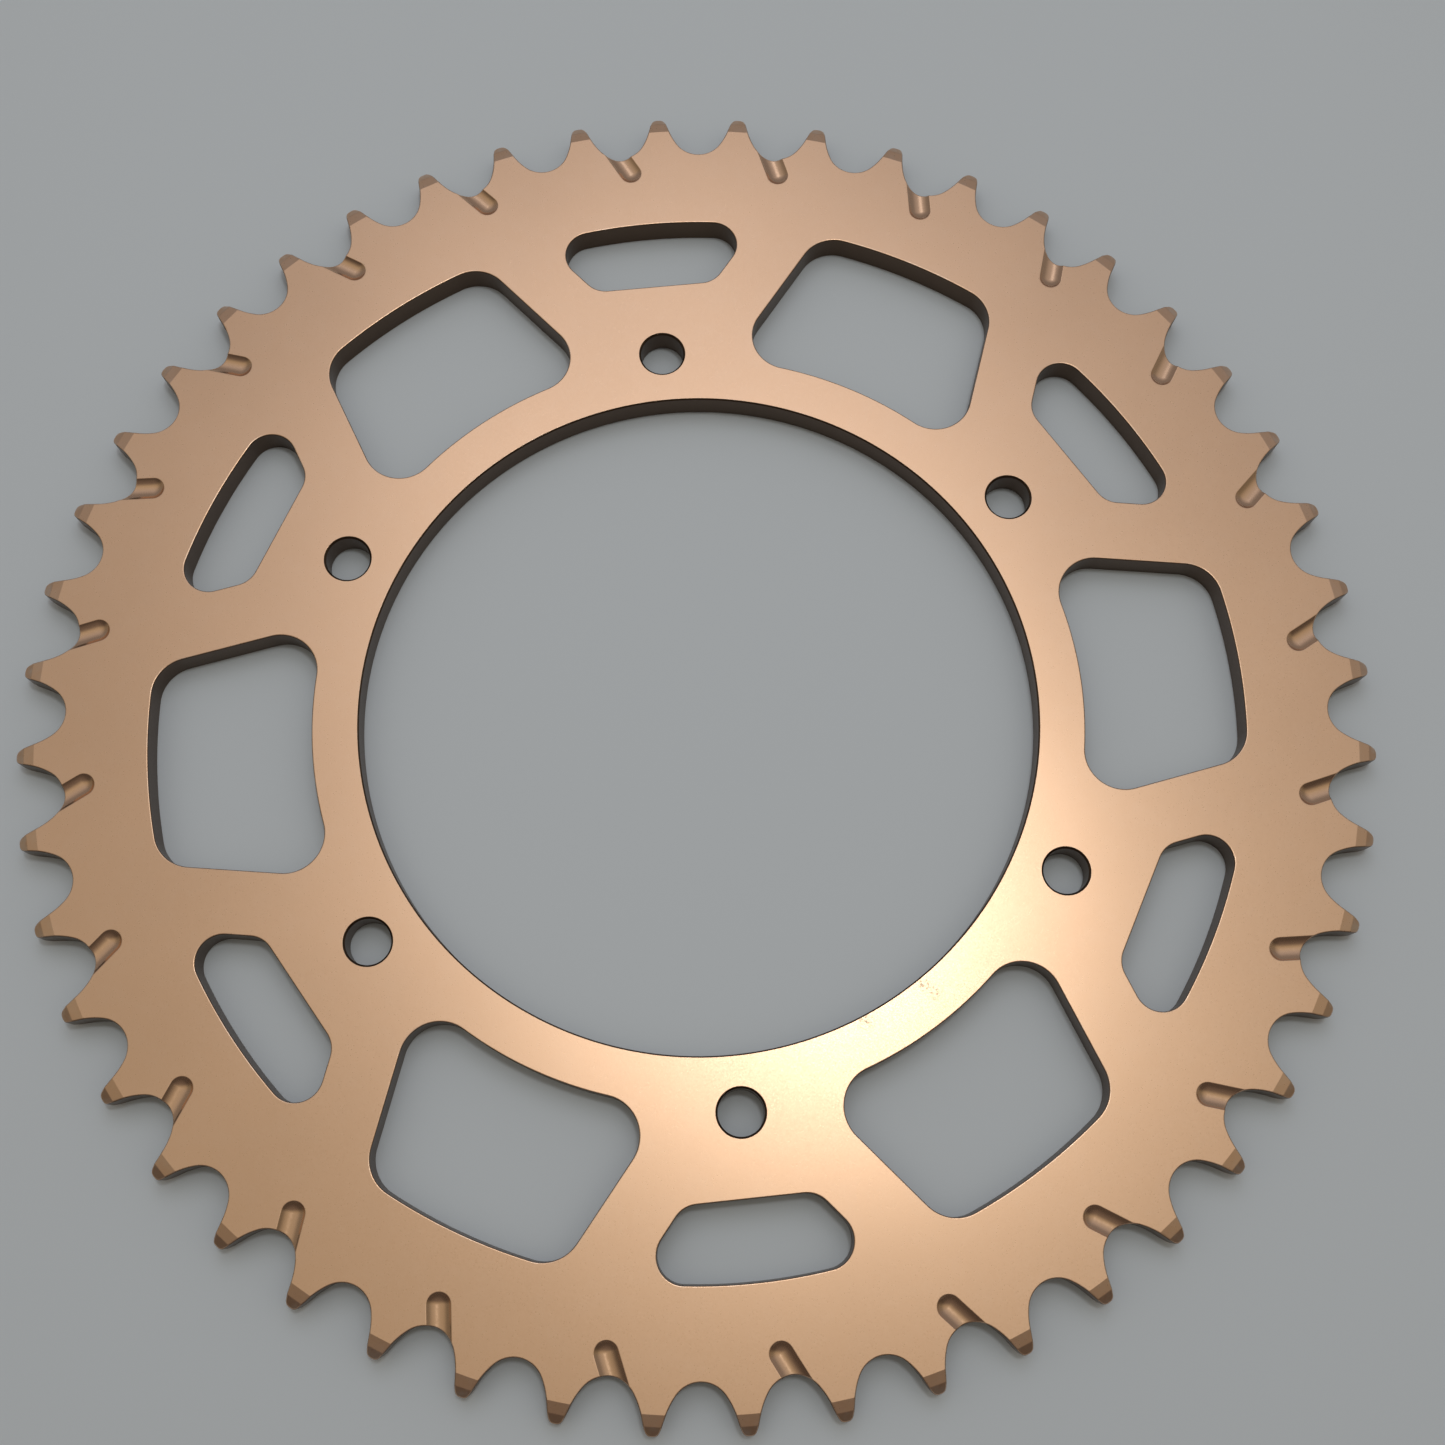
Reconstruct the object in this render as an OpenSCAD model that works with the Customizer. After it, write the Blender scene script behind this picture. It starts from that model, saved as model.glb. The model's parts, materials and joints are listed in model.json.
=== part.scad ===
// Rear drive sprocket of a motorcycle: one flat plate, cut from a single disc of
// aluminium alloy. It carries a roller chain of 5/8 inch pitch. The hub side lies on
// Z = 0 with the axle along Z, the outer side with the mud grooves faces +Z, and the
// first bolt hole is on +X.

/* [Chain] */
// Chain pitch, pin to pin
chain_pitch = 15.875; // [15.8:0.005:15.95]
// Diameter of the chain rollers
roller_d = 10.16; // [10:0.01:10.2]

/* [Teeth] */
// Number of teeth, even so that the grooves fall in every second gap
tooth_count = 48; // [48:2:50]
// Height of a tooth above the pitch circle
tooth_rise = 3.75; // [2.6:0.05:3.9]
// Radius of the two corners of a tooth's tip
tip_corner_r = 1; // [0.3:0.1:1]
// Radial width of the shallow bevel that starts on the side face
inner_bevel_w = 2.05; // [1:0.05:2.2]
// Slope of the shallow bevel
inner_bevel_angle = 12; // [6:1:20]
// Radial width of the steep bevel that ends at the tooth tip
outer_bevel_w = 1.65; // [0.8:0.05:1.7]
// Slope of the steep bevel
outer_bevel_angle = 32; // [25:1:45]

/* [Plate] */
// Thickness of the plate
thickness = 6; // [5:0.1:7]
// Diameter of the centre bore that locates on the hub
bore_d = 125; // [120:0.5:128]
// Width of the broken edge on the bore
edge_break = 0.3; // [0.1:0.05:0.5]

/* [Bolt holes] */
// Diameter of the bolt circle
bolt_circle_d = 145; // [144:0.5:148]
// Diameter of each bolt hole
bolt_hole_d = 8.25; // [6.5:0.05:9]
// Width of the bevel at both mouths of a bolt hole
hole_bevel = 0.4; // [0.1:0.05:0.6]

/* [Large windows] */
// Radius of the outer side of all windows
window_outer_r = 100.8; // [98:0.1:102]
// Radius of the inner side of a large window
large_inner_r = 71.1; // [70:0.1:73]
// Angle between a straight side and the middle line of the window
large_side_angle = 9.7; // [8:0.1:12]
// Distance from the axle to the line of a straight side
large_side_offset = 35.1; // [34:0.1:36]
// Corner radius of a large window
large_corner_r = 7; // [5:0.1:8]

/* [Small windows] */
// Distance from the axle to the flat inner side
small_inner_x = 87.1; // [86:0.1:89]
// Half the width of the flat inner side, measured to its sharp corners
small_inner_half_w = 11.55; // [10.5:0.05:12]
// Angle between a slanted side and the middle line of the window
small_side_angle = 39.9; // [36:0.1:42]
// Corner radius of a small window
small_corner_r = 4.8; // [3.5:0.1:5]

/* [Mud grooves] */
// Diameter of the ball-nosed cutter that makes the grooves
groove_ball_d = 6; // [5:0.1:7]
// Depth of the grooves below the outer side
groove_depth = 0.85; // [0.5:0.05:1.2]
// Distance from the bottom of the tooth gap in to the centre of the groove's end
groove_reach = 3.6; // [2.5:0.1:4.5]
// Sideways shift of the groove's end from the middle of the gap
groove_shift = -1.17; // [-1.4:0.01:-0.9]
// Angle between the groove and the middle line of the gap
groove_lean = 25.5; // [23:0.5:27]

/* [Hidden] */
$fn = 120;

// The bolt holes and both kinds of window repeat six times
arm_count = 6;
arm_pitch = 360 / arm_count;
tooth_pitch = 360 / tooth_count;
// A grooved gap lies a quarter of a tooth pitch on from each bolt hole
gap_phase = tooth_pitch / 4;
// Length by which cutting shapes run past the faces
past = 1;
// Height by which a rounding circle stands proud of the sides that it joins, so that
// it crosses them and doesn't just touch
proud = 0.01;

// Tooth gap of the American standard form for roller chain, in a frame whose X axis
// runs from the axle through the middle of the gap. Angles are those between the
// middle line and the radius of each curve.
inch = 25.4;
pitch_r = chain_pitch / 2 / sin(180 / tooth_count);
seat_r = 0.5025 * roller_d + 0.0015 * inch;
root_r = pitch_r - seat_r;
tip_r = pitch_r + tooth_rise;
seat_angle = 55 - 60 / tooth_count;
work_r = 1.3025 * roller_d + 0.0015 * inch;
work_angle = seat_angle + 18 - 56 / tooth_count;
straight_len = roller_d * (1.4 * sin(17 - 64 / tooth_count)
                           - 0.8 * sin(18 - 56 / tooth_count));
crown_r = roller_d * (0.8 * cos(18 - 56 / tooth_count)
                      + 1.4 * cos(17 - 64 / tooth_count) - 1.3025) - 0.0015 * inch;
// A flank leaves the seat at seat_end, leaves the working curve at work_end and
// leaves the straight stretch at straight_end
seat_centre = [pitch_r, 0];
seat_end = seat_centre + seat_r * [-cos(seat_angle), sin(seat_angle)];
work_centre = seat_end + work_r * [cos(seat_angle), -sin(seat_angle)];
work_end = work_centre + work_r * [-cos(work_angle), sin(work_angle)];
straight_end = work_end + straight_len * [sin(work_angle), cos(work_angle)];
crown_centre = straight_end + crown_r * [-cos(work_angle), sin(work_angle)];
half_tooth_w = pitch_r * sin(tooth_pitch / 2);
// The corner of a tip is an arc inside both the crown and the tip circle. It leaves the
// crown in the direction corner_start and meets the tip circle in corner_end.
crown_turn = atan2(crown_centre[1], crown_centre[0]);
corner_end = crown_turn - triangle_angle(tip_r - tip_corner_r, norm(crown_centre),
                                         crown_r - tip_corner_r);
corner_centre = (tip_r - tip_corner_r) * [cos(corner_end), sin(corner_end)];
corner_reach = corner_centre - crown_centre;
corner_start = atan2(corner_reach[1], corner_reach[0]);

face_r = tip_r - outer_bevel_w - inner_bevel_w;
ridge_r = tip_r - outer_bevel_w;
ridge_drop = inner_bevel_w * tan(inner_bevel_angle);
tip_drop = ridge_drop + outer_bevel_w * tan(outer_bevel_angle);

// Angle of a triangle between its sides a and b, with side c across from it
function triangle_angle(a, b, c) = acos((a * a + b * b - c * c) / (2 * a * b));
// Mirror image of a point or vector across the X axis
function flip(p) = [p[0], -p[1]];
// Point at a distance from the axle, on the line whose distance from the axle is
// offset along the direction angle
function on_line(distance, offset, angle) =
    distance * [cos(angle - acos(offset / distance)), sin(angle - acos(offset / distance))];

// Copies the children and their mirror image across the X axis
module both_sides() {
    children();
    mirror([0, 1]) children();
}

// Rectangle from x0 to x1, half_w to each side of the X axis
module strip(x0, x1, half_w) {
    translate([x0, -half_w]) square([x1 - x0, 2 * half_w]);
}

module tooth_gap_2d() {
    translate(seat_centre) circle(r = seat_r);
    intersection() {
        strip(seat_end[0], work_end[0], half_tooth_w);
        translate(work_centre) circle(r = work_r);
        translate(flip(work_centre)) circle(r = work_r);
    }
    polygon([flip(work_end), flip(straight_end), straight_end, work_end]);
    difference() {
        strip(straight_end[0], tip_r + past, half_tooth_w);
        both_sides() translate(crown_centre) circle(r = crown_r);
    }
    both_sides() difference() {
        corner_wedge(corner_centre, tip_corner_r, corner_start, corner_end);
        translate(corner_centre) circle(r = tip_corner_r + proud);
    }
}

// Wedge that holds a sharp corner. It runs from the centre of the corner's rounding
// circle, between the directions angle_a and angle_b in which that circle meets the sides.
module corner_wedge(centre, r, angle_a, angle_b) {
    middle = (angle_a + angle_b) / 2;
    reach = 2 * r;
    translate(centre) polygon([
        [0, 0],
        reach * [cos(angle_a), sin(angle_a)],
        reach / cos((angle_b - angle_a) / 2) * [cos(middle), sin(middle)],
        reach * [cos(angle_b), sin(angle_b)]
    ]);
}

// Takes a sharp corner off the children and puts back a round one
module round_corner(centre, r, angle_a, angle_b) {
    difference() {
        children();
        corner_wedge(centre, r, angle_a, angle_b);
    }
    translate(centre) circle(r = r + proud);
}

// Upper half of a large window, from the middle line to its straight side
module large_window_half() {
    normal = 90 - large_side_angle;
    outer_centre = on_line(window_outer_r - large_corner_r,
                           large_side_offset - large_corner_r, normal);
    inner_centre = on_line(large_inner_r + large_corner_r,
                           large_side_offset - large_corner_r, normal);
    outer_angle = atan2(outer_centre[1], outer_centre[0]);
    inner_angle = atan2(inner_centre[1], inner_centre[0]) + 180;
    side_w = large_side_offset / cos(large_side_angle);
    slope = tan(large_side_angle);
    round_corner(outer_centre, large_corner_r, outer_angle, normal)
    round_corner(inner_centre, large_corner_r, normal, inner_angle)
    intersection() {
        difference() {
            circle(r = window_outer_r);
            circle(r = large_inner_r);
        }
        polygon([
            [0, 0],
            [window_outer_r, 0],
            [window_outer_r, side_w - slope * window_outer_r],
            [0, side_w]
        ]);
    }
}

// Upper half of a small window, from the middle line to its slanted side
module small_window_half() {
    normal = 90 + small_side_angle;
    slope = tan(small_side_angle);
    side_offset = small_inner_x * cos(normal) + small_inner_half_w * sin(normal);
    outer_centre = on_line(window_outer_r - small_corner_r,
                           side_offset - small_corner_r, normal);
    inner_centre_x = small_inner_x + small_corner_r;
    inner_centre = [
        inner_centre_x,
        (side_offset - small_corner_r - inner_centre_x * cos(normal)) / sin(normal)
    ];
    outer_angle = atan2(outer_centre[1], outer_centre[0]);
    round_corner(outer_centre, small_corner_r, outer_angle, normal)
    round_corner(inner_centre, small_corner_r, normal, 180)
    intersection() {
        circle(r = window_outer_r);
        polygon([
            [small_inner_x, 0],
            [window_outer_r, 0],
            [window_outer_r, small_inner_half_w + slope * (window_outer_r - small_inner_x)],
            [small_inner_x, small_inner_half_w]
        ]);
    }
}

// Turned disc with the bore, its broken edges and the bevels of the tooth tips
module turned_blank() {
    bore_r = bore_d / 2;
    rotate_extrude() polygon([
        [bore_r, edge_break],
        [bore_r + edge_break, 0],
        [face_r, 0],
        [ridge_r, ridge_drop],
        [tip_r, tip_drop],
        [tip_r, thickness - tip_drop],
        [ridge_r, thickness - ridge_drop],
        [face_r, thickness],
        [bore_r + edge_break, thickness],
        [bore_r, thickness - edge_break]
    ]);
}

// Cutting shape of a bolt hole, with the bevel at both ends
module bolt_hole() {
    hole_r = bolt_hole_d / 2;
    wide_r = hole_r + hole_bevel + past;
    rotate_extrude() polygon([
        [0, -past],
        [wide_r, -past],
        [hole_r, hole_bevel],
        [hole_r, thickness - hole_bevel],
        [wide_r, thickness + past],
        [0, thickness + past]
    ]);
}

// Path of the ball-nosed cutter: a round bar with a round end, lying along +X
module groove_cutter() {
    ball_r = groove_ball_d / 2;
    rotate([0, 90, 0]) rotate_extrude() {
        square([ball_r, groove_reach + 2 * seat_r]);
        intersection() {
            circle(r = ball_r);
            translate([0, -ball_r]) square([ball_r, ball_r]);
        }
    }
}

module through_cuts_2d() {
    for (i = [0 : tooth_count - 1])
        rotate(gap_phase + i * tooth_pitch) tooth_gap_2d();
    for (i = [0 : arm_count - 1]) {
        rotate(i * arm_pitch) both_sides() small_window_half();
        rotate((i + 0.5) * arm_pitch) both_sides() large_window_half();
    }
}

module sprocket_plate() {
    color([0.72, 0.59, 0.45]) difference() {
        turned_blank();
        translate([0, 0, -past]) linear_extrude(thickness + 2 * past) through_cuts_2d();
        for (i = [0 : arm_count - 1])
            rotate(i * arm_pitch) translate([bolt_circle_d / 2, 0]) bolt_hole();
        for (i = [0 : 2 : tooth_count - 1])
            rotate(gap_phase + i * tooth_pitch)
                translate([root_r - groove_reach, groove_shift,
                           thickness + groove_ball_d / 2 - groove_depth])
                    rotate(groove_lean) groove_cutter();
    }
}

sprocket_plate();
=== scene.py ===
"""Rear drive sprocket of a motorcycle: its fine mesh and its anodised finish.

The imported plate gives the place, the thickness and the mounts. The plate is built here
again as one closed mesh, with finer curves, rounded edges and machined grooves.
Outlines are worked out in millimetres and turned to metres when the mesh is made.
"""

import json
from math import acos, atan2, ceil, cos, hypot, pi, radians, sin, sqrt, tan

import bpy
from mathutils import Matrix, Vector
from mathutils.geometry import delaunay_2d_cdt
from mathutils.kdtree import KDTree


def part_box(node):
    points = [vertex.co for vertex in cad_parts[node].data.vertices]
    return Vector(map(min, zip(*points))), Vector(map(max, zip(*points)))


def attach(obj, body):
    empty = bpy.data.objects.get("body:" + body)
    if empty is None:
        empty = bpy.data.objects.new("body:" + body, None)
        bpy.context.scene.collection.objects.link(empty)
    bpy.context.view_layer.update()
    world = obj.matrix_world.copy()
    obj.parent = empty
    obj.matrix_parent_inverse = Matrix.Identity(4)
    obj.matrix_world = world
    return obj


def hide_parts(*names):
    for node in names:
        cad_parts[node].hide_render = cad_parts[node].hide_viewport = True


MM = 0.001
TAU = 2 * pi

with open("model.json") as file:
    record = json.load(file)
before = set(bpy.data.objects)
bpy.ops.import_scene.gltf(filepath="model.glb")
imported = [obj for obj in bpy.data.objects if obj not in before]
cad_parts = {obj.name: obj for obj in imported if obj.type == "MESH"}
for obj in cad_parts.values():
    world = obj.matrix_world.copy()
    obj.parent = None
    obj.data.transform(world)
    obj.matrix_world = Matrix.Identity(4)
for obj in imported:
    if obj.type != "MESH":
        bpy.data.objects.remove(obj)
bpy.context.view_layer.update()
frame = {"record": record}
mounts = {m["name"]: m for m in frame["record"]["mounts"]}

# ---------------------------------------------------------------- sizes, in millimetres
plate_low, plate_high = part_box("sprocket_plate")
THICKNESS = (plate_high.z - plate_low.z) / MM
BORE_R = mounts["bore"]["dims"]["r_mm"]
BOLT_CIRCLE_R = mounts["hub_bolts"]["dims"]["pcd_mm"] / 2
BOLT_HOLE_R = mounts["hub_bolts"]["dims"]["hole_r_mm"]

# Chain and tooth form. The tips stand TOOTH_RISE above the pitch circle.
CHAIN_PITCH = 15.875
ROLLER_D = 10.16
TOOTH_COUNT = 48
TOOTH_RISE = 3.75
TIP_CORNER_R = 1.0
INCH = 25.4

# Bevels of the tooth tips, on both sides of the plate
INNER_BEVEL_W = 2.05
INNER_BEVEL_ANGLE = radians(12)
OUTER_BEVEL_W = 1.65
OUTER_BEVEL_ANGLE = radians(32)
RIDGE_SOFTNESS = 0.15

# Windows, whose sides are straight between corners of one radius. A side's angle is
# measured from the window's middle line, and its offset is its distance from the axle.
WINDOW_OUTER_R = 100.8
LARGE_INNER_R = 71.1
LARGE_SIDE_ANGLE = radians(9.7)
LARGE_SIDE_OFFSET = 35.1
LARGE_CORNER_R = 7.0
SMALL_INNER_X = 87.1
SMALL_INNER_HALF_W = 11.55
SMALL_SIDE_ANGLE = radians(39.9)
SMALL_CORNER_R = 4.8

# Mud grooves, cut by a ball. The middle of a groove's round end lies GROOVE_REACH inside
# the root circle and GROOVE_SHIFT beside the tooth gap's middle line.
GROOVE_BALL_R = 3.0
GROOVE_DEPTH = 0.85
GROOVE_REACH = 3.6
GROOVE_SHIFT = -1.17
GROOVE_LEAN = radians(25.5)
GROOVE_RIM = 0.12

# Edges between a side face and a wall. Those of the teeth and windows are rounded, and
# those of the bore and the bolt holes have a flat bevel.
EDGE_R = 0.25
EDGE_STEPS = 4
BORE_BEVEL = 0.3
HOLE_BEVEL = 0.4
BEVEL_LIP = 0.04

# Mesh fineness: steps along the outlines, across the bevels and grooves and over the
# flat faces, whose grid ends RIM_MARGIN inside the root circle, and bands down a wall
ARC_STEP = 0.55
RUN_LEAST_STEPS = 3
RING_STEP = 0.88
RING_STEPS_PER_R = 8
BEVEL_STEP = 0.8
BEVEL_LEAST_STEPS = 2
GROOVE_STEP = 0.45
GROOVE_LENGTH_STEPS = 6
FACE_STEP = 4.5
RIM_MARGIN = 1.0
WALL_BANDS = 3

# Plain stations keep clear of those at a mark by this share of a step, and the place of
# a mark is found by halving a step this often
MARK_CLEARANCE = 0.4
HALVINGS = 50

# Points this near each other are one, and so are an outline's point and one on a line
SAME_POINT = 1e-6
SAME_LINE_POINT = 1e-4

# Arms and tooth gaps go round the axle. A bolt hole's middle lies on the X axis, and the
# first tooth gap's middle line is GAP_PHASE past it.
ARM_COUNT = 6
ARM_PITCH = TAU / ARM_COUNT
TOOTH_PITCH = TAU / TOOTH_COUNT
GAP_PHASE = TOOTH_PITCH / 4


# ---------------------------------------------------------------- outlines
# A station is a point of an outline and the unit normal there, which points into the
# metal. A run is a smooth stretch of an outline: a function from 0..1 to a station, and
# its length. An outline is a closed list of stations.


def arc(centre, r, start, end, outward):
    """Run along an arc. outward is 1 where the metal lies outside the arc, else -1."""

    def station(t):
        a = start + (end - start) * t
        c, s = cos(a), sin(a)
        return (centre[0] + r * c, centre[1] + r * s), (outward * c, outward * s)

    return station, abs(end - start) * r


def line(start, end, normal):
    """Run along a straight line."""

    def station(t):
        x, y = start[0] + (end[0] - start[0]) * t, start[1] + (end[1] - start[1]) * t
        return (x, y), normal

    return station, hypot(end[0] - start[0], end[1] - start[1])


def flipped(runs):
    """The runs mirrored across the X axis, in the opposite order."""

    def flip(run):
        def station(t):
            (x, y), (u, v) = run[0](1 - t)
            return (x, -y), (u, -v)

        return station, run[1]

    return [flip(run) for run in reversed(runs)]


def inset(station, depth):
    """The point that lies depth inside the metal."""
    (x, y), (u, v) = station
    return x + u * depth, y + v * depth


def crossing(run, low, high, mark):
    """Where between low and high the mark function changes sign on the face's edge."""
    rising = mark(*inset(run(high), EDGE_R)) > 0
    for _ in range(HALVINGS):
        middle = (low + high) / 2
        if (mark(*inset(run(middle), EDGE_R)) > 0) == rising:
            high = middle
        else:
            low = middle
    return (low + high) / 2


def outline(runs, marks=(), step=ARC_STEP):
    """Stations along the runs, with one wherever a mark function changes sign."""
    result = []
    for run, length in runs:
        count = max(RUN_LEAST_STEPS, ceil(length / step))
        knots = [i / count for i in range(count + 1)]
        special = []
        for mark in marks:
            above = [mark(*inset(run(t), EDGE_R)) > 0 for t in knots]
            for i in range(count):
                if above[i] != above[i + 1]:
                    special.append(crossing(run, knots[i], knots[i + 1], mark))
        clear = MARK_CLEARANCE / count
        kept = [t for t in knots if t in (0, 1) or all(abs(t - s) > clear for s in special)]
        result += [run(t) for t in sorted(kept + special)]
    return distinct(result)


def distinct(stations):
    """The stations of a closed outline without the repeats where runs meet."""
    result = []
    for station in stations:
        if not result or apart(result[-1][0], station[0]) > SAME_POINT:
            result.append(station)
    if apart(result[0][0], result[-1][0]) <= SAME_POINT:
        result.pop()
    return result


def apart(p, q):
    """Distance between two points."""
    return hypot(p[0] - q[0], p[1] - q[1])


def turned_point(point, angle):
    """The point turned about the axle."""
    c, s = cos(angle), sin(angle)
    return point[0] * c - point[1] * s, point[0] * s + point[1] * c


def turned(stations, angle):
    """The stations turned about the axle."""
    return [(turned_point(p, angle), turned_point(n, angle)) for p, n in stations]


# ---------------------------------------------------------------- the tooth gap
# The bare numbers here and in half_tooth_gap are those of the standard's own formulas
SEAT_PLAY = 0.0015 * INCH
PITCH_R = CHAIN_PITCH / 2 / sin(pi / TOOTH_COUNT)
SEAT_R = 0.5025 * ROLLER_D + SEAT_PLAY
ROOT_R = PITCH_R - SEAT_R
TIP_R = PITCH_R + TOOTH_RISE
RIDGE_R = TIP_R - OUTER_BEVEL_W
FACE_R = RIDGE_R - INNER_BEVEL_W

# Radii of the circles that the triangles of the bevels follow
BEVEL_START = 0.08
OUTER_ROW_DEPTH = 0.9
BEVEL_ROWS = [FACE_R, FACE_R + BEVEL_START, (FACE_R + RIDGE_R) / 2, RIDGE_R - RIDGE_SOFTNESS,
              RIDGE_R, RIDGE_R + RIDGE_SOFTNESS, TIP_R - OUTER_ROW_DEPTH]


def half_tooth_gap():
    """Runs from the bottom of a tooth gap to the middle of the next tooth's tip. The gap
    is the American standard one for roller chain, with its middle line on the X axis."""
    seat_angle = radians(55 - 60 / TOOTH_COUNT)
    tilt = radians(18 - 56 / TOOTH_COUNT)
    lean = radians(17 - 64 / TOOTH_COUNT)
    work_angle = seat_angle + tilt
    work_r = 1.3025 * ROLLER_D + SEAT_PLAY
    straight = ROLLER_D * (1.4 * sin(lean) - 0.8 * sin(tilt))
    crown_r = ROLLER_D * (0.8 * cos(tilt) + 1.4 * cos(lean) - 1.3025) - SEAT_PLAY
    flank = (-cos(work_angle), sin(work_angle))

    seat_end = (PITCH_R - SEAT_R * cos(seat_angle), SEAT_R * sin(seat_angle))
    work_centre = (seat_end[0] + work_r * cos(seat_angle), seat_end[1] - work_r * sin(seat_angle))
    work_end = (work_centre[0] + work_r * flank[0], work_centre[1] + work_r * flank[1])
    straight_end = (work_end[0] + straight * flank[1], work_end[1] - straight * flank[0])
    crown_centre = (straight_end[0] + crown_r * flank[0], straight_end[1] + crown_r * flank[1])

    # The tip's corner is rounded by a circle inside both the crown arc and the tip circle
    a, b, d = crown_r - TIP_CORNER_R, TIP_R - TIP_CORNER_R, hypot(*crown_centre)
    crown_angle = atan2(crown_centre[1], crown_centre[0])
    corner_angle = crown_angle - acos((b * b + d * d - a * a) / (2 * b * d))
    corner = (b * cos(corner_angle), b * sin(corner_angle))
    crown_stop = atan2(corner[1] - crown_centre[1], corner[0] - crown_centre[0])

    return [
        arc((PITCH_R, 0), SEAT_R, pi, pi - seat_angle, 1),
        arc(work_centre, work_r, pi - seat_angle, pi - work_angle, 1),
        line(work_end, straight_end, flank),
        arc(crown_centre, crown_r, -work_angle, crown_stop, -1),
        arc(corner, TIP_CORNER_R, crown_stop, corner_angle, -1),
        arc((0, 0), TIP_R, corner_angle, TOOTH_PITCH / 2, -1),
    ]


def radius_mark(r):
    """Mark function of a circle round the axle."""
    return lambda x, y: hypot(x, y) - r


# ---------------------------------------------------------------- the mud grooves
GROOVE_HALF_W = sqrt(GROOVE_BALL_R ** 2 - (GROOVE_BALL_R - GROOVE_DEPTH) ** 2)
GROOVE_END = (ROOT_R - GROOVE_REACH, GROOVE_SHIFT)
GROOVE_MIDDLE = atan2(GROOVE_END[1], GROOVE_END[0])

# Distances from the spine of the lines that the triangles of a groove follow
GROOVE_ROWS = [0.75, 1.4, 1.78, GROOVE_HALF_W - GROOVE_RIM, GROOVE_HALF_W,
               GROOVE_HALF_W + GROOVE_RIM]


def along_groove(x, y):
    """Place of a point in the first groove's frame, before the gap is turned to its
    angle: along the groove from its round end, and across it."""
    dx, dy = x - GROOVE_END[0], y - GROOVE_END[1]
    c, s = cos(GROOVE_LEAN), sin(GROOVE_LEAN)
    return dx * c + dy * s, dy * c - dx * s


def from_groove(along, across):
    """The point at a place in the first groove's frame."""
    c, s = cos(GROOVE_LEAN), sin(GROOVE_LEAN)
    return GROOVE_END[0] + along * c - across * s, GROOVE_END[1] + along * s + across * c


def groove_mark(offset):
    """Mark function of a line along the first groove, at an offset from its spine."""
    return lambda x, y: along_groove(x, y)[1] - offset


def from_spine(x, y):
    """Offset of a point from the spine of the nearest groove, as a vector in plan."""
    turn = atan2(y, x) - GAP_PHASE - GROOVE_MIDDLE
    turn = GAP_PHASE + 2 * TOOTH_PITCH * round(turn / (2 * TOOTH_PITCH))
    along, across = along_groove(*turned_point((x, y), -turn))
    return turned_point((min(along, 0.0), across), turn + GROOVE_LEAN)


def groove_distance(x, y):
    """Distance of a point from the spine of the nearest groove."""
    return hypot(*from_spine(x, y))


# ---------------------------------------------------------------- the side faces' shape
# A drop is a depth below the flat of a side face. A slope is the vector in plan along
# which the drop grows, as long as its rate.


def ridge_bend(r):
    """How far the rounding of the ridge between the bevels has come at radius r."""
    return min(max(r - RIDGE_R + RIDGE_SOFTNESS, 0.0), 2 * RIDGE_SOFTNESS)


def bevel_drop(r):
    """Depth of the two bevels at radius r."""
    if r <= FACE_R:
        return 0.0
    low, high = tan(INNER_BEVEL_ANGLE), tan(OUTER_BEVEL_ANGLE)
    steep = ridge_bend(r) ** 2 / (4 * RIDGE_SOFTNESS) + max(r - RIDGE_R - RIDGE_SOFTNESS, 0.0)
    return (r - FACE_R) * low + steep * (high - low)


def bevel_rate(r):
    """How fast the bevels' depth grows with the radius."""
    if r <= FACE_R + SAME_POINT:
        return 0.0
    low, high = tan(INNER_BEVEL_ANGLE), tan(OUTER_BEVEL_ANGLE)
    return low + ridge_bend(r) / (2 * RIDGE_SOFTNESS) * (high - low)


def groove_drop(out):
    """Depth of a groove at a distance from its spine, with a softly rounded rim."""
    if out >= GROOVE_HALF_W + GROOVE_RIM:
        return 0.0
    if out <= GROOVE_HALF_W - GROOVE_RIM:
        return sqrt(GROOVE_BALL_R ** 2 - out * out) - (GROOVE_BALL_R - GROOVE_DEPTH)
    share = (GROOVE_HALF_W + GROOVE_RIM - out) / (2 * GROOVE_RIM)
    return groove_drop(GROOVE_HALF_W - GROOVE_RIM) * share * share


def groove_rate(out):
    """How fast a groove's depth grows with the distance from its spine."""
    if out >= GROOVE_HALF_W + GROOVE_RIM:
        return 0.0
    if out <= GROOVE_HALF_W - GROOVE_RIM:
        return -out / sqrt(GROOVE_BALL_R ** 2 - out * out)
    share = (GROOVE_HALF_W + GROOVE_RIM - out) / (2 * GROOVE_RIM)
    return -groove_drop(GROOVE_HALF_W - GROOVE_RIM) * share / GROOVE_RIM


def scaled_to(vector, length):
    """The vector made as long as length."""
    size = hypot(*vector)
    return (vector[0] * length / size, vector[1] * length / size) if size > 0 else (0.0, 0.0)


def hub_shape(x, y):
    """Drop and slope of the hub side face, which has no grooves."""
    r = hypot(x, y)
    return bevel_drop(r), scaled_to((x, y), bevel_rate(r))


def outer_shape(x, y):
    """Drop and slope of the outer side face, where the deeper one of the bevel and the
    groove counts."""
    bevel = hub_shape(x, y)
    offset = from_spine(x, y)
    out = hypot(*offset)
    groove = groove_drop(out), scaled_to(offset, groove_rate(out))
    return max(bevel, groove)


# ---------------------------------------------------------------- the windows


def corner_centre(r, offset, normal):
    """The point at distance r from the axle whose distance along normal is offset."""
    angle = normal - acos(offset / r)
    return r * cos(angle), r * sin(angle)


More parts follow.
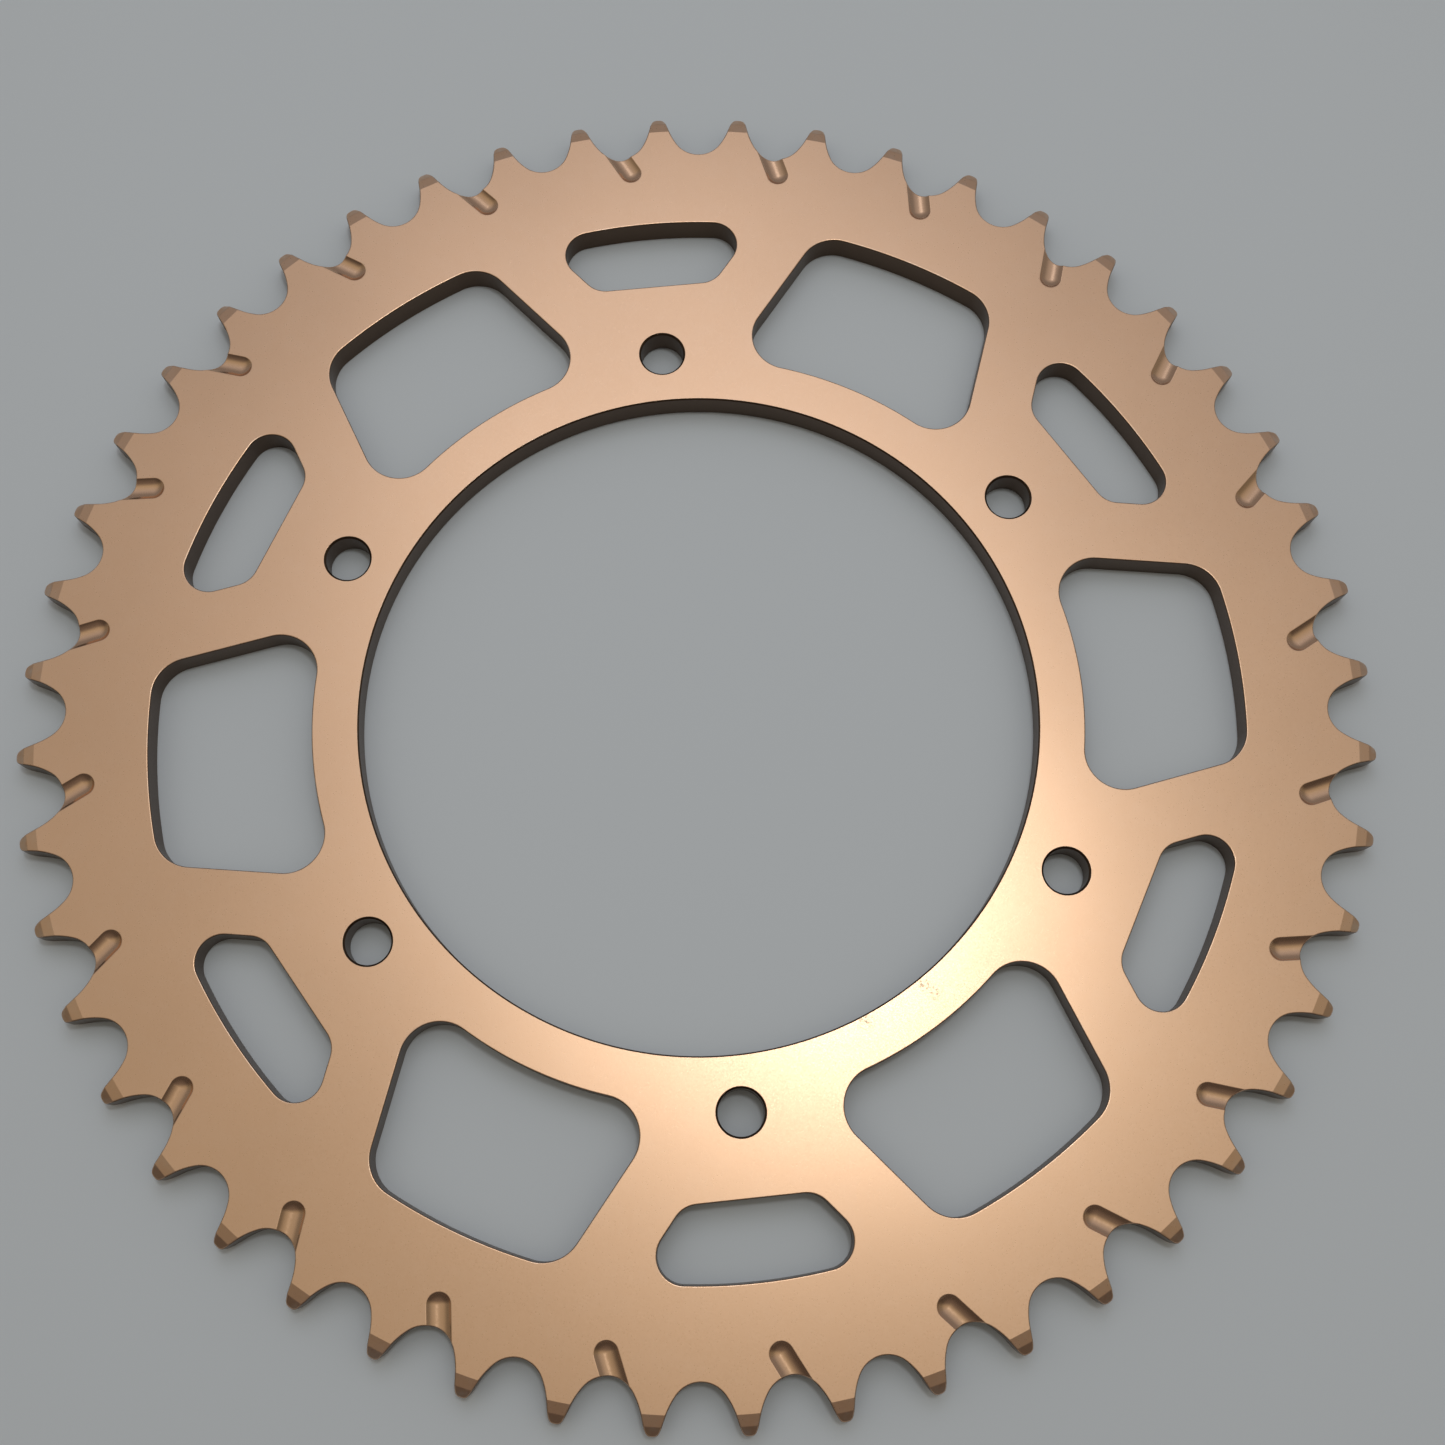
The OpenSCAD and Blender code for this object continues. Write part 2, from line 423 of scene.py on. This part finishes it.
def window_side(outer, inner, r, normal):
    """Run along the straight side between two corner circles."""
    u, v = cos(normal), sin(normal)
    return line((outer[0] + r * u, outer[1] + r * v), (inner[0] + r * u, inner[1] + r * v), (u, v))


def large_window():
    """Half the runs of a large window, its middle line along the X axis."""
    r, normal = LARGE_CORNER_R, pi / 2 - LARGE_SIDE_ANGLE
    outer = corner_centre(WINDOW_OUTER_R - r, LARGE_SIDE_OFFSET - r, normal)
    inner = corner_centre(LARGE_INNER_R + r, LARGE_SIDE_OFFSET - r, normal)
    outer_angle, inner_angle = atan2(outer[1], outer[0]), atan2(inner[1], inner[0])
    return [
        arc((0, 0), WINDOW_OUTER_R, 0, outer_angle, 1),
        arc(outer, r, outer_angle, normal, 1),
        window_side(outer, inner, r, normal),
        arc(inner, r, normal, inner_angle + pi, 1),
        arc((0, 0), LARGE_INNER_R, inner_angle, 0, -1),
    ]


def small_window():
    """Half the runs of a small window, its middle line along the X axis."""
    r, normal = SMALL_CORNER_R, pi / 2 + SMALL_SIDE_ANGLE
    offset = SMALL_INNER_X * cos(normal) + SMALL_INNER_HALF_W * sin(normal) - r
    outer = corner_centre(WINDOW_OUTER_R - r, offset, normal)
    inner_x = SMALL_INNER_X + r
    inner = (inner_x, (offset - inner_x * cos(normal)) / sin(normal))
    outer_angle = atan2(outer[1], outer[0])
    return [
        arc((0, 0), WINDOW_OUTER_R, 0, outer_angle, 1),
        arc(outer, r, outer_angle, normal, 1),
        window_side(outer, inner, r, normal),
        arc(inner, r, normal, pi, 1),
        line((SMALL_INNER_X, inner[1]), (SMALL_INNER_X, 0), (-1, 0)),
    ]


# ---------------------------------------------------------------- the whole plan view


class Plan:
    """The plate seen from the outer side: its outlines, and the points and lines that
    the side faces' triangles have to follow."""

    def __init__(self):
        self.outlines = []
        self.points = []
        self.lines = []
        self.tree = None

    def copy(self):
        """A plan with the same outlines, points and lines, to add others to."""
        other = Plan()
        other.outlines, other.tree = self.outlines, self.tree
        other.points, other.lines = list(self.points), list(self.lines)
        return other

    def add_outline(self, stations, solid_inside, edge):
        """Adds a closed outline, turned so that the metal is on its left. Its edge is a
        list of rows, each with its depth inside the wall, its drop below the side face,
        and the turn of its normal from the face's to the wall's."""
        points = [p for p, n in stations]
        area = sum(p[0] * q[1] - q[0] * p[1] for p, q in zip(points, points[1:] + points[:1]))
        if (area > 0) != solid_inside:
            stations = stations[::-1]
        first = len(self.points)
        self.outlines.append((first, stations, edge))
        self.points += [inset(s, edge[0][0]) for s in stations]
        last = len(self.points)
        self.lines += [(i, i + 1) for i in range(first, last - 1)] + [(last - 1, first)]

    def close_outlines(self):
        """Makes the outlines' points findable, once all of them are there."""
        self.tree = KDTree(len(self.points))
        for i, (x, y) in enumerate(self.points):
            self.tree.insert((x, y, 0), i)
        self.tree.balance()

    def point(self, x, y):
        """Index of a point, which is an outline's own point where they coincide."""
        _, index, gap = self.tree.find((x, y, 0))
        if gap < SAME_LINE_POINT:
            return index
        self.points.append((x, y))
        return len(self.points) - 1

    def add_line(self, points):
        """Adds a line that the triangles' edges have to follow."""
        indices = [self.point(x, y) for x, y in points]
        self.lines += list(zip(indices, indices[1:]))

    def clear_of_outlines(self, x, y, gap):
        """Whether a point lies further than gap from every point of the outlines."""
        return self.tree.find((x, y, 0))[2] > gap


def gap_outline(marks):
    """Stations of one whole tooth gap, from tip to tip."""
    half = half_tooth_gap()
    return outline(flipped(half) + half, marks)


def plate_plan():
    """The plan of the plate, with the lines of the bevels but without the grooves', and
    the stations of a tooth gap that has a groove."""
    bevel_marks = [radius_mark(r) for r in BEVEL_ROWS]
    groove_marks = [groove_mark(0)]
    groove_marks += [groove_mark(side * w) for w in GROOVE_ROWS for side in (-1, 1)]
    plain = gap_outline(bevel_marks)
    grooved = gap_outline(bevel_marks + groove_marks)

    plan = Plan()
    teeth = []
    for i in range(TOOTH_COUNT):
        gap = grooved if i % 2 == 0 else plain
        teeth += turned(gap, GAP_PHASE + i * TOOTH_PITCH)
    plan.add_outline(distinct(teeth), True, rounding(EDGE_R))
    plan.add_outline(ring((0, 0), BORE_R), False, flat_bevel(BORE_BEVEL))
    large, small = large_window(), small_window()
    for i in range(ARM_COUNT):
        angle = i * ARM_PITCH
        hole = turned_point((BOLT_CIRCLE_R, 0), angle)
        plan.add_outline(ring(hole, BOLT_HOLE_R), False, flat_bevel(HOLE_BEVEL))
        plan.add_outline(turned(outline(small + flipped(small)), angle), False, rounding(EDGE_R))
        plan.add_outline(turned(outline(large + flipped(large)), angle + ARM_PITCH / 2), False,
                         rounding(EDGE_R))
    plan.close_outlines()
    add_bevel_lines(plan, plain)
    return plan, grooved


def rounding(r):
    """Rows of a rounded edge."""
    turns = [pi / 2 * k / EDGE_STEPS for k in range(EDGE_STEPS + 1)]
    return [(r * (1 - sin(t)), r * (1 - cos(t)), t) for t in turns]


def flat_bevel(w):
    """Rows of an edge with a flat bevel at 45 degrees, whose own edges are soft."""
    return [(w, 0.0, 0.0), (w - BEVEL_LIP, BEVEL_LIP, pi / 4), (BEVEL_LIP, w - BEVEL_LIP, pi / 4),
            (0.0, w, pi / 2)]


def ring(centre, r):
    """Outline of a round hole."""
    return outline([arc(centre, r, 0, TAU, 1)], step=min(RING_STEP, r / RING_STEPS_PER_R))


def add_bevel_lines(plan, gap):
    """Adds the arcs across the tooth tips that the triangles of the bevels follow."""
    for r in BEVEL_ROWS:
        edge = [inset(s, EDGE_R) for s in gap]
        flank = max(atan2(y, x) for x, y in edge if abs(hypot(x, y) - r) < SAME_POINT)
        half = TOOTH_PITCH / 2 - flank
        count = max(BEVEL_LEAST_STEPS, ceil(2 * half * r / BEVEL_STEP))
        for i in range(TOOTH_COUNT):
            middle = GAP_PHASE + (i + 0.5) * TOOTH_PITCH
            angles = [middle - half + 2 * half * k / count for k in range(count + 1)]
            plan.add_line([(r * cos(a), r * sin(a)) for a in angles])


def add_groove_lines(plan, gap):
    """Adds the lines along and round each groove that its rounded bottom follows."""
    edge = [along_groove(*inset(s, EDGE_R)) for s in gap]
    spine = min(a for a, across in edge if abs(across) < SAME_POINT)
    count = GROOVE_LENGTH_STEPS
    paths = [[(spine * k / count, 0) for k in range(count + 1)]]
    for w in GROOVE_ROWS:
        low, high = [min(a for a, across in edge if abs(across - side * w) < SAME_POINT)
                     for side in (-1, 1)]
        steps = ceil(pi * w / GROOVE_STEP)
        bend = [pi * 1.5 - pi * k / steps for k in range(steps + 1)]
        paths.append([(low * (1 - k / count), -w) for k in range(count)]
                     + [(w * cos(a), w * sin(a)) for a in bend]
                     + [(high * (k + 1) / count, w) for k in range(count)])
    for i in range(0, TOOTH_COUNT, 2):
        angle = GAP_PHASE + i * TOOTH_PITCH
        for path in paths:
            plan.add_line([turned_point(from_groove(*place), angle) for place in path])


def add_face_points(plan, has_grooves):
    """Adds a loose polar grid over the flat faces, so that their triangles are even."""
    r = BORE_R + FACE_STEP
    while r < ROOT_R - RIM_MARGIN:
        count = round(TAU * r / FACE_STEP)
        for k in range(count):
            x, y = r * cos(TAU * k / count), r * sin(TAU * k / count)
            beside = has_grooves and groove_distance(x, y) < GROOVE_HALF_W + FACE_STEP / 3
            if plan.clear_of_outlines(x, y, FACE_STEP / 2) and not beside and in_metal(x, y):
                plan.points.append((x, y))
        r += FACE_STEP


def in_metal(x, y):
    """Whether a point lies outside the windows and the bolt holes. It only has to be
    right for points that are well clear of the outlines."""
    for i in range(ARM_COUNT):
        hole = turned_point((BOLT_CIRCLE_R, 0), i * ARM_PITCH)
        if apart((x, y), hole) < BOLT_HOLE_R:
            return False
    r = hypot(x, y)
    turn = atan2(y, x) % ARM_PITCH
    from_small = min(turn, ARM_PITCH - turn)
    from_large = abs(turn - ARM_PITCH / 2)
    across, ahead = r * sin(from_large), r * cos(from_large)
    side = ahead * sin(LARGE_SIDE_ANGLE) + across * cos(LARGE_SIDE_ANGLE)
    if LARGE_INNER_R < r < WINDOW_OUTER_R and side < LARGE_SIDE_OFFSET:
        return False
    across, ahead = r * sin(from_small), r * cos(from_small)
    reach = SMALL_INNER_HALF_W + (ahead - SMALL_INNER_X) * tan(SMALL_SIDE_ANGLE)
    return not (ahead > SMALL_INNER_X and r < WINDOW_OUTER_R and across < reach)


# ---------------------------------------------------------------- the closed mesh


def inside(point, polygon):
    """Whether a point lies inside a closed polygon."""
    x, y = point
    hits = 0
    for (ax, ay), (bx, by) in zip(polygon, polygon[1:] + polygon[:1]):
        if (ay > y) != (by > y) and x < ax + (bx - ax) * (y - ay) / (by - ay):
            hits += 1
    return hits % 2 == 1


def face_triangles(plan):
    """Triangles that cover the metal of a side face, as indices of the plan's points."""
    _, _, triangles, sources, _, _ = delaunay_2d_cdt(
        [Vector(p) for p in plan.points], plan.lines, [], 0, SAME_POINT, True)
    index = [min(source) for source in sources]
    owner, loops = {}, []
    for n, (first, stations, _) in enumerate(plan.outlines):
        owner.update({first + k: n for k in range(len(stations))})
        loops.append(plan.points[first:first + len(stations)])
    kept = []
    for triangle in triangles:
        corners = [index[v] for v in triangle]
        (ax, ay), (bx, by), (cx, cy) = [plan.points[v] for v in corners]
        if (bx - ax) * (cy - ay) < (by - ay) * (cx - ax):
            corners.reverse()
        # Only a triangle whose corners all lie on one outline can lie beside the metal:
        # outside the teeth, which are outline 0, or inside one of the others
        owners = {owner.get(v) for v in corners}
        if len(owners) == 1 and None not in owners:
            n = owners.pop()
            if inside(((ax + bx + cx) / 3, (ay + by + cy) / 3), loops[n]) != (n == 0):
                continue
        kept.append(corners)
    return kept


class Shell:
    """The plate's vertices and their normals, and its faces and their finishes."""

    def __init__(self):
        self.vertices, self.normals, self.faces, self.finishes = [], [], [], []

    def add_row(self, vertices, normals):
        """Adds a row of vertices, and gives their indices."""
        first = len(self.vertices)
        self.vertices += vertices
        self.normals += normals
        return list(range(first, len(self.vertices)))

    def add_face(self, corners, finish):
        """Adds a face by its corners' indices, counter-clockwise as seen from outside."""
        self.faces.append(corners)
        self.finishes.append(finish)


class Side:
    """A side face: its height at z, whether up is 1 or -1, and its shape."""

    def __init__(self, z, up, shape):
        self.z, self.up, self.shape = z, up, shape

    def vertex(self, x, y, drop=0.0):
        """The point of the side face over a point of the plan, or drop below it."""
        return x, y, self.z - self.up * (self.shape(x, y)[0] + drop)

    def normal(self, x, y):
        """The side face's unit normal over a point of the plan."""
        return Vector((*self.shape(x, y)[1], self.up)).normalized()

    def edge_row(self, stations, depth, drop, turn):
        """Vertices and normals of one row of an edge."""
        places = [inset(s, depth) for s in stations]
        normals = [cos(turn) * self.normal(*place) + sin(turn) * Vector((-u, -v, 0))
                   for place, (_, (u, v)) in zip(places, stations)]
        return [self.vertex(*place, drop) for place in places], normals


def plate_shell():
    """The plate as one closed shell."""
    plan, grooved_gap = plate_plan()
    hub_plan = plan.copy()
    add_groove_lines(plan, grooved_gap)
    add_face_points(plan, True)
    add_face_points(hub_plan, False)
    outer, hub = Side(THICKNESS, 1, outer_shape), Side(0, -1, hub_shape)

    shell = Shell()
    for side, side_plan in ((outer, plan), (hub, hub_plan)):
        points = side_plan.points
        row = shell.add_row([side.vertex(*p) for p in points], [side.normal(*p) for p in points])
        for corners in face_triangles(side_plan):
            finish = face_finish(side_plan, corners, side is outer)
            shell.add_face([row[v] for v in corners][::side.up], finish)

    hub_first = len(plan.points)
    for first, stations, edge in plan.outlines:
        count = len(stations)
        rows = [list(range(first, first + count))]
        rows += [shell.add_row(*outer.edge_row(stations, *row)) for row in edge[1:]]
        ends = [side.edge_row(stations, *edge[-1]) for side in (outer, hub)]
        for k in range(1, WALL_BANDS):
            rows.append(shell.add_row(*between(*ends, k / WALL_BANDS)))
        rows += [shell.add_row(*hub.edge_row(stations, *row)) for row in edge[:0:-1]]
        rows.append(list(range(hub_first + first, hub_first + first + count)))
        # Up to half of an edge's bands, those next to the side face, are finished as edge
        bands = len(rows) - 1
        for j, (upper, lower) in enumerate(zip(rows, rows[1:])):
            finish = EDGE if min(j, bands - 1 - j) < (len(edge) - 1) // 2 else WALL
            for i in range(count):
                k = (i + 1) % count
                shell.add_face([upper[i], lower[i], lower[k], upper[k]], finish)
    return shell


def between(upper, lower, share):
    """The row at a share of the way down the wall, with the upper row's normals."""
    vertices = [Vector(a).lerp(Vector(b), share) for a, b in zip(upper[0], lower[0])]
    return vertices, upper[1]


# The finishes, in the order of the plate's material slots
FACE, BEVEL, GROOVE, WALL, EDGE, TIP = range(6)


def face_finish(plan, corners, has_grooves):
    """Which finish a triangle of a side face has."""
    x = sum(plan.points[v][0] for v in corners) / 3
    y = sum(plan.points[v][1] for v in corners) / 3
    if hypot(x, y) > RIDGE_R:
        return TIP
    if hypot(x, y) > FACE_R:
        return BEVEL
    if has_grooves and groove_distance(x, y) < GROOVE_HALF_W:
        return GROOVE
    return FACE


def make_plate():
    """The plate as a mesh object, in metres, with its exact normals."""
    shell = plate_shell()
    mesh = bpy.data.meshes.new("sprocket")
    mesh.from_pydata([Vector(v) * MM for v in shell.vertices], [], shell.faces)
    mesh.polygons.foreach_set("material_index", shell.finishes)
    mesh.polygons.foreach_set("use_smooth", [True] * len(shell.faces))
    mesh.normals_split_custom_set_from_vertices(shell.normals)
    mesh.update()
    plate = bpy.data.objects.new("sprocket", mesh)
    bpy.context.scene.collection.objects.link(plate)
    return plate


# ---------------------------------------------------------------- materials


class Nodes:
    """A node tree, with short names for the nodes that it needs."""

    def __init__(self, tree):
        self.tree = tree

    def add(self, kind, inputs=None, **settings):
        """Adds a node with the given inputs, each a value or another node's output."""
        node = self.tree.nodes.new("ShaderNode" + kind)
        for name, value in settings.items():
            setattr(node, name, value)
        for name, value in (inputs or {}).items():
            self.join(value, node.inputs[name])
        return node

    def join(self, value, socket):
        """Sets an input to a value, or links it to another node's output."""
        if isinstance(value, bpy.types.NodeSocket):
            self.tree.links.new(value, socket)
        else:
            socket.default_value = value

    def noise(self, place, scale, detail=2.0, roughness=0.5):
        """Value of a noise at a place, from 0 to 1."""
        node = self.add("TexNoise", {"Vector": place, "Scale": scale, "Detail": detail,
                                     "Roughness": roughness})
        return node.outputs["Fac"]

    def mixed(self, blend, share, one, other):
        """Colour that goes from one to the other as share goes from 0 to 1."""
        node = self.add("Mix", {0: share, 6: one, 7: other}, data_type="RGBA", blend_type=blend)
        return node.outputs[2]

    def spread(self, value, low, high, to_low, to_high, **settings):
        """The value's range from low to high mapped to that from to_low to to_high."""
        node = self.add("MapRange", {"Value": value, "From Min": low, "From Max": high,
                                     "To Min": to_low, "To Max": to_high}, **settings)
        return node.outputs["Result"]


# Colours of the metal, of its walls, of metal whose anodising is thinned by rubbing and of soil,
# as linear values. The walls' colour is painted shade, a dark brown that stands for the shaded
# floor they reflect. The paler colour is real thinning on the faces, and on the edges and tips it
# is also painted highlight, standing for the glints and bright lines they catch.
ANODISED = (0.70, 0.445, 0.285)
WALL_PAINTED_SHADE = (0.11, 0.07, 0.045)
WORN_AND_HIGHLIGHT = (0.74, 0.55, 0.42)
SOIL = (0.20, 0.16, 0.11)

# Noises: how many of their cells a metre holds, and the range that most of their values lie in.
# The metal turns paler, which on edges and tips is painted highlight, and specks appear, as a
# noise rises through a part of it.
GRAIN_SCALE = 3200
CLOUD_SCALE = 25
WEAR_AND_HIGHLIGHT_SCALE = 260
SCUFF_SCALE = 1500
NOISE_RANGE = (0.3, 0.7)
RUB_AND_HIGHLIGHT_RANGE = (0.45, 0.65)
SPECK_RANGE = (0.50, 0.58)

# How far the grain moves the roughness, and the clouds the colour, either way
GRAIN_GLOSS = 0.04
CLOUD_TONE = 0.03

# Scuffs of the hub on the inner ring: distance from the axle, angle and reach. They are
# full over SCUFF_CORE of their reach, and fade out beyond it.
SCUFFS = [(63.7, radians(-38.3), 1.9), (63.9, radians(-27.4), 1.6), (66.2, radians(-26.8), 1.6)]
SCUFF_CORE = 0.3


def scuffed(n, place):
    """Share of soil at a place: torn specks within reach of each scuff's middle."""
    nearness = 0.0
    for r, angle, reach in SCUFFS:
        middle = Vector((r * cos(angle), r * sin(angle), THICKNESS)) * MM
        gap = n.add("VectorMath", {0: place, 1: middle}, operation="DISTANCE").outputs["Value"]
        spot = n.spread(gap, SCUFF_CORE * reach * MM, reach * MM, 1.0, 0.0)
        nearness = n.add("Math", {0: nearness, 1: spot}, operation="MAXIMUM").outputs["Value"]
    torn = n.noise(place, SCUFF_SCALE, detail=4, roughness=0.7)
    specks = n.spread(torn, *SPECK_RANGE, 0.0, 1.0)
    return n.add("Math", {0: nearness, 1: specks}, operation="MULTIPLY").outputs["Value"]


def anodised(name, colour, roughness, grain_depth, wear_and_highlight=0.0, has_scuffs=False):
    """Bronze anodised aluminium with the fine grain of blasting, grain_depth metres deep, faint
    clouds in its colour, and paler patches. They stand for anodising thinned by rubbing, and on
    the edges and tips also for painted highlight, the glints and bright lines that those catch.
    The argument after grain_depth is the most that the patches are paler."""
    material = bpy.data.materials.new(name)
    material.use_nodes = True
    n = Nodes(material.node_tree)
    shader = n.tree.nodes["Principled BSDF"]
    place = n.add("TexCoord").outputs["Object"]
    fine = n.noise(place, GRAIN_SCALE, detail=3, roughness=0.6)
    cloud = n.noise(place, CLOUD_SCALE, detail=3)
    patches = n.noise(place, WEAR_AND_HIGHLIGHT_SCALE, detail=4, roughness=0.65)

    # Paler patches: thinned anodising, and on edges and tips painted highlight
    rub_and_highlight_share = n.spread(patches, *RUB_AND_HIGHLIGHT_RANGE, 0.0, wear_and_highlight)
    rubbed_and_highlit_colour = n.mixed("MIX", rub_and_highlight_share, (*colour, 1), (*WORN_AND_HIGHLIGHT, 1))
    soiled = n.mixed("MIX", scuffed(n, place), rubbed_and_highlit_colour, (*SOIL, 1)) if has_scuffs else rubbed_and_highlit_colour
    clouded = n.spread(cloud, *NOISE_RANGE, 1 - CLOUD_TONE, 1 + CLOUD_TONE)
    tone = n.mixed("MULTIPLY", 1.0, soiled, clouded)
    shine = n.spread(fine, *NOISE_RANGE, roughness - GRAIN_GLOSS, roughness + GRAIN_GLOSS)
    bump = n.add("Bump", {"Height": fine, "Strength": 1.0, "Distance": grain_depth})
    n.join(tone, shader.inputs["Base Color"])
    n.join(shine, shader.inputs["Roughness"])
    n.join(bump.outputs["Normal"], shader.inputs["Normal"])
    shader.inputs["Metallic"].default_value = 1.0
    return material


def finish_plate(plate):
    """Gives the plate its material slots, from FACE to TIP. Each has its roughness and the depth
    of its grain, and then how far its colour turns paler, which on the edges and tips is painted
    highlight. The walls' dark colour is painted shade."""
    finishes = [
        anodised("blasted_face", ANODISED, 0.31, 2.5e-6, wear_and_highlight=0.05, has_scuffs=True),
        anodised("turned_bevel", ANODISED, 0.31, 2.5e-6, wear_and_highlight=0.25),
        anodised("milled_groove", ANODISED, 0.22, 1e-6),
        # The walls' colour is painted shade, darkened to stand for the shaded floor that they
        # reflect
        anodised("milled_wall_painted_shade", WALL_PAINTED_SHADE, 0.35, 3e-6),
        # The edges and tips are paler in patches, as painted highlight for the glints and bright
        # lines they catch
        anodised("broken_edge_painted_highlight", ANODISED, 0.30, 3e-6, wear_and_highlight=0.6),
        anodised("worn_tip_painted_highlight", ANODISED, 0.34, 2.5e-6, wear_and_highlight=1.0),
    ]
    for finish in finishes:
        plate.data.materials.append(finish)


# ---------------------------------------------------------------- camera, floor and light
# The camera stands over the outer side and looks down at it, a little from the front.
# The lengths of the camera and the floor are in millimetres too.
CAMERA_AZIMUTH = radians(-21.68)
CAMERA_ELEVATION = radians(75.0)
CAMERA_ROLL = radians(2.47)
CAMERA_DISTANCE = 323.7
CAMERA_AIM = (4.73, -0.20)
CAMERA_LENS = 43.9
CAMERA_SENSOR = 36
CAMERA_CLIP = 10

FLOOR_HALF_W = 3000
FLOOR_COLOUR = (0.68, 0.71, 0.73)
FLOOR_ROUGHNESS = 0.8

# The sky's colours, and its strength low down and overhead
SKY_BEHIND = (1.0, 1.02, 1.10)
SKY_ABOVE = (1.0, 0.94, 0.76)
SKY_IN_FRONT = (0.36, 0.32, 0.30)
SKY_LOW, SKY_HIGH = 0.26, 0.52

# Where the sky changes: along a direction's height, and along its part towards the front
LOW_TO_HIGH = (0.45, 0.9)
BEHIND_TO_ABOVE = (-0.55, 0.1)
ABOVE_TO_FRONT = (0.07, 0.48)


def put_camera():
    """The camera, whose aim is a point of the outer side face."""
    a, e = CAMERA_AZIMUTH, CAMERA_ELEVATION
    back = Vector((-sin(a) * cos(e), -cos(a) * cos(e), sin(e)))
    aim = Vector((*CAMERA_AIM, THICKNESS)) * MM
    camera = bpy.data.objects.new("camera", bpy.data.cameras.new("camera"))
    camera.data.lens = CAMERA_LENS
    camera.data.sensor_width = CAMERA_SENSOR
    camera.data.clip_start = CAMERA_CLIP * MM
    camera.location = aim + back * CAMERA_DISTANCE * MM
    camera.rotation_mode = "QUATERNION"
    turn = (-back).to_track_quat("-Z", "Y").to_matrix() @ Matrix.Rotation(CAMERA_ROLL, 3, "Z")
    camera.rotation_quaternion = turn.to_quaternion()
    bpy.context.scene.collection.objects.link(camera)
    bpy.context.scene.camera = camera


def put_floor():
    """A plain pale floor under the hub side."""
    half = FLOOR_HALF_W * MM
    mesh = bpy.data.meshes.new("floor")
    mesh.from_pydata([(-half, -half, 0), (half, -half, 0), (half, half, 0), (-half, half, 0)],
                     [], [(0, 1, 2, 3)])
    floor = bpy.data.objects.new("floor", mesh)
    material = bpy.data.materials.new("pale_floor")
    material.use_nodes = True
    shader = material.node_tree.nodes["Principled BSDF"]
    shader.inputs["Base Color"].default_value = (*FLOOR_COLOUR, 1)
    shader.inputs["Roughness"].default_value = FLOOR_ROUGHNESS
    mesh.materials.append(material)
    bpy.context.scene.collection.objects.link(floor)


def front(right, up):
    """The direction in plan that lies right and up in the camera's view."""
    return turned_point((right, up), -CAMERA_AZIMUTH)


def put_lamp(name, right, up, height, size, power, colour):
    """A soft lamp that faces the origin. Its place is in millimetres, right and up as the
    camera sees them and above the floor, and so is its size."""
    data = bpy.data.lights.new(name, "AREA")
    data.shape = "ELLIPSE"
    data.size, data.size_y = size[0] * MM, size[1] * MM
    data.energy = power
    data.color = colour
    lamp = bpy.data.objects.new(name, data)
    lamp.location = Vector((*front(right, up), height)) * MM
    lamp.rotation_mode = "QUATERNION"
    lamp.rotation_quaternion = lamp.location.to_track_quat("Z", "Y")
    bpy.context.scene.collection.objects.link(lamp)


def put_sky():
    """A sky that fades from overhead down to the horizon. Its colour also changes from
    behind the plate to above it, and it is darker in front, where somebody stands who
    looks at the plate."""
    world = bpy.data.worlds.new("studio")
    world.use_nodes = True
    n = Nodes(world.node_tree)
    direction = n.add("TexCoord").outputs["Generated"]
    height = n.add("SeparateXYZ", {"Vector": direction}).outputs["Z"]
    nearness = n.add("VectorMath", {0: direction, 1: Vector((*front(0, -1), 0))},
                     operation="DOT_PRODUCT").outputs["Value"]
    rise = n.spread(nearness, *BEHIND_TO_ABOVE, 0.0, 1.0)
    shade = n.spread(nearness, *ABOVE_TO_FRONT, 0.0, 1.0, interpolation_type="SMOOTHSTEP")
    fade = n.spread(height, *LOW_TO_HIGH, SKY_LOW, SKY_HIGH, interpolation_type="SMOOTHSTEP")
    upper = n.mixed("MIX", rise, (*SKY_BEHIND, 1), (*SKY_ABOVE, 1))
    colour = n.mixed("MIX", shade, upper, (*SKY_IN_FRONT, 1))
    background = n.tree.nodes["Background"]
    n.join(colour, background.inputs["Color"])
    n.join(fade, background.inputs["Strength"])
    bpy.context.scene.world = world


# ---------------------------------------------------------------- the scene
plate = make_plate()
finish_plate(plate)
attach(plate, "root")
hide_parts("sprocket_plate")

put_camera()
put_floor()
put_sky()
put_lamp("key", right=106, up=132, height=1200, size=(135, 135), power=1.37,
         colour=(0.97, 1.02, 1.04))
put_lamp("softbox", right=-14, up=179, height=506, size=(327, 446), power=0.275,
         colour=(0.95, 1.02, 1.14))
bpy.context.scene.view_settings.view_transform = "Standard"
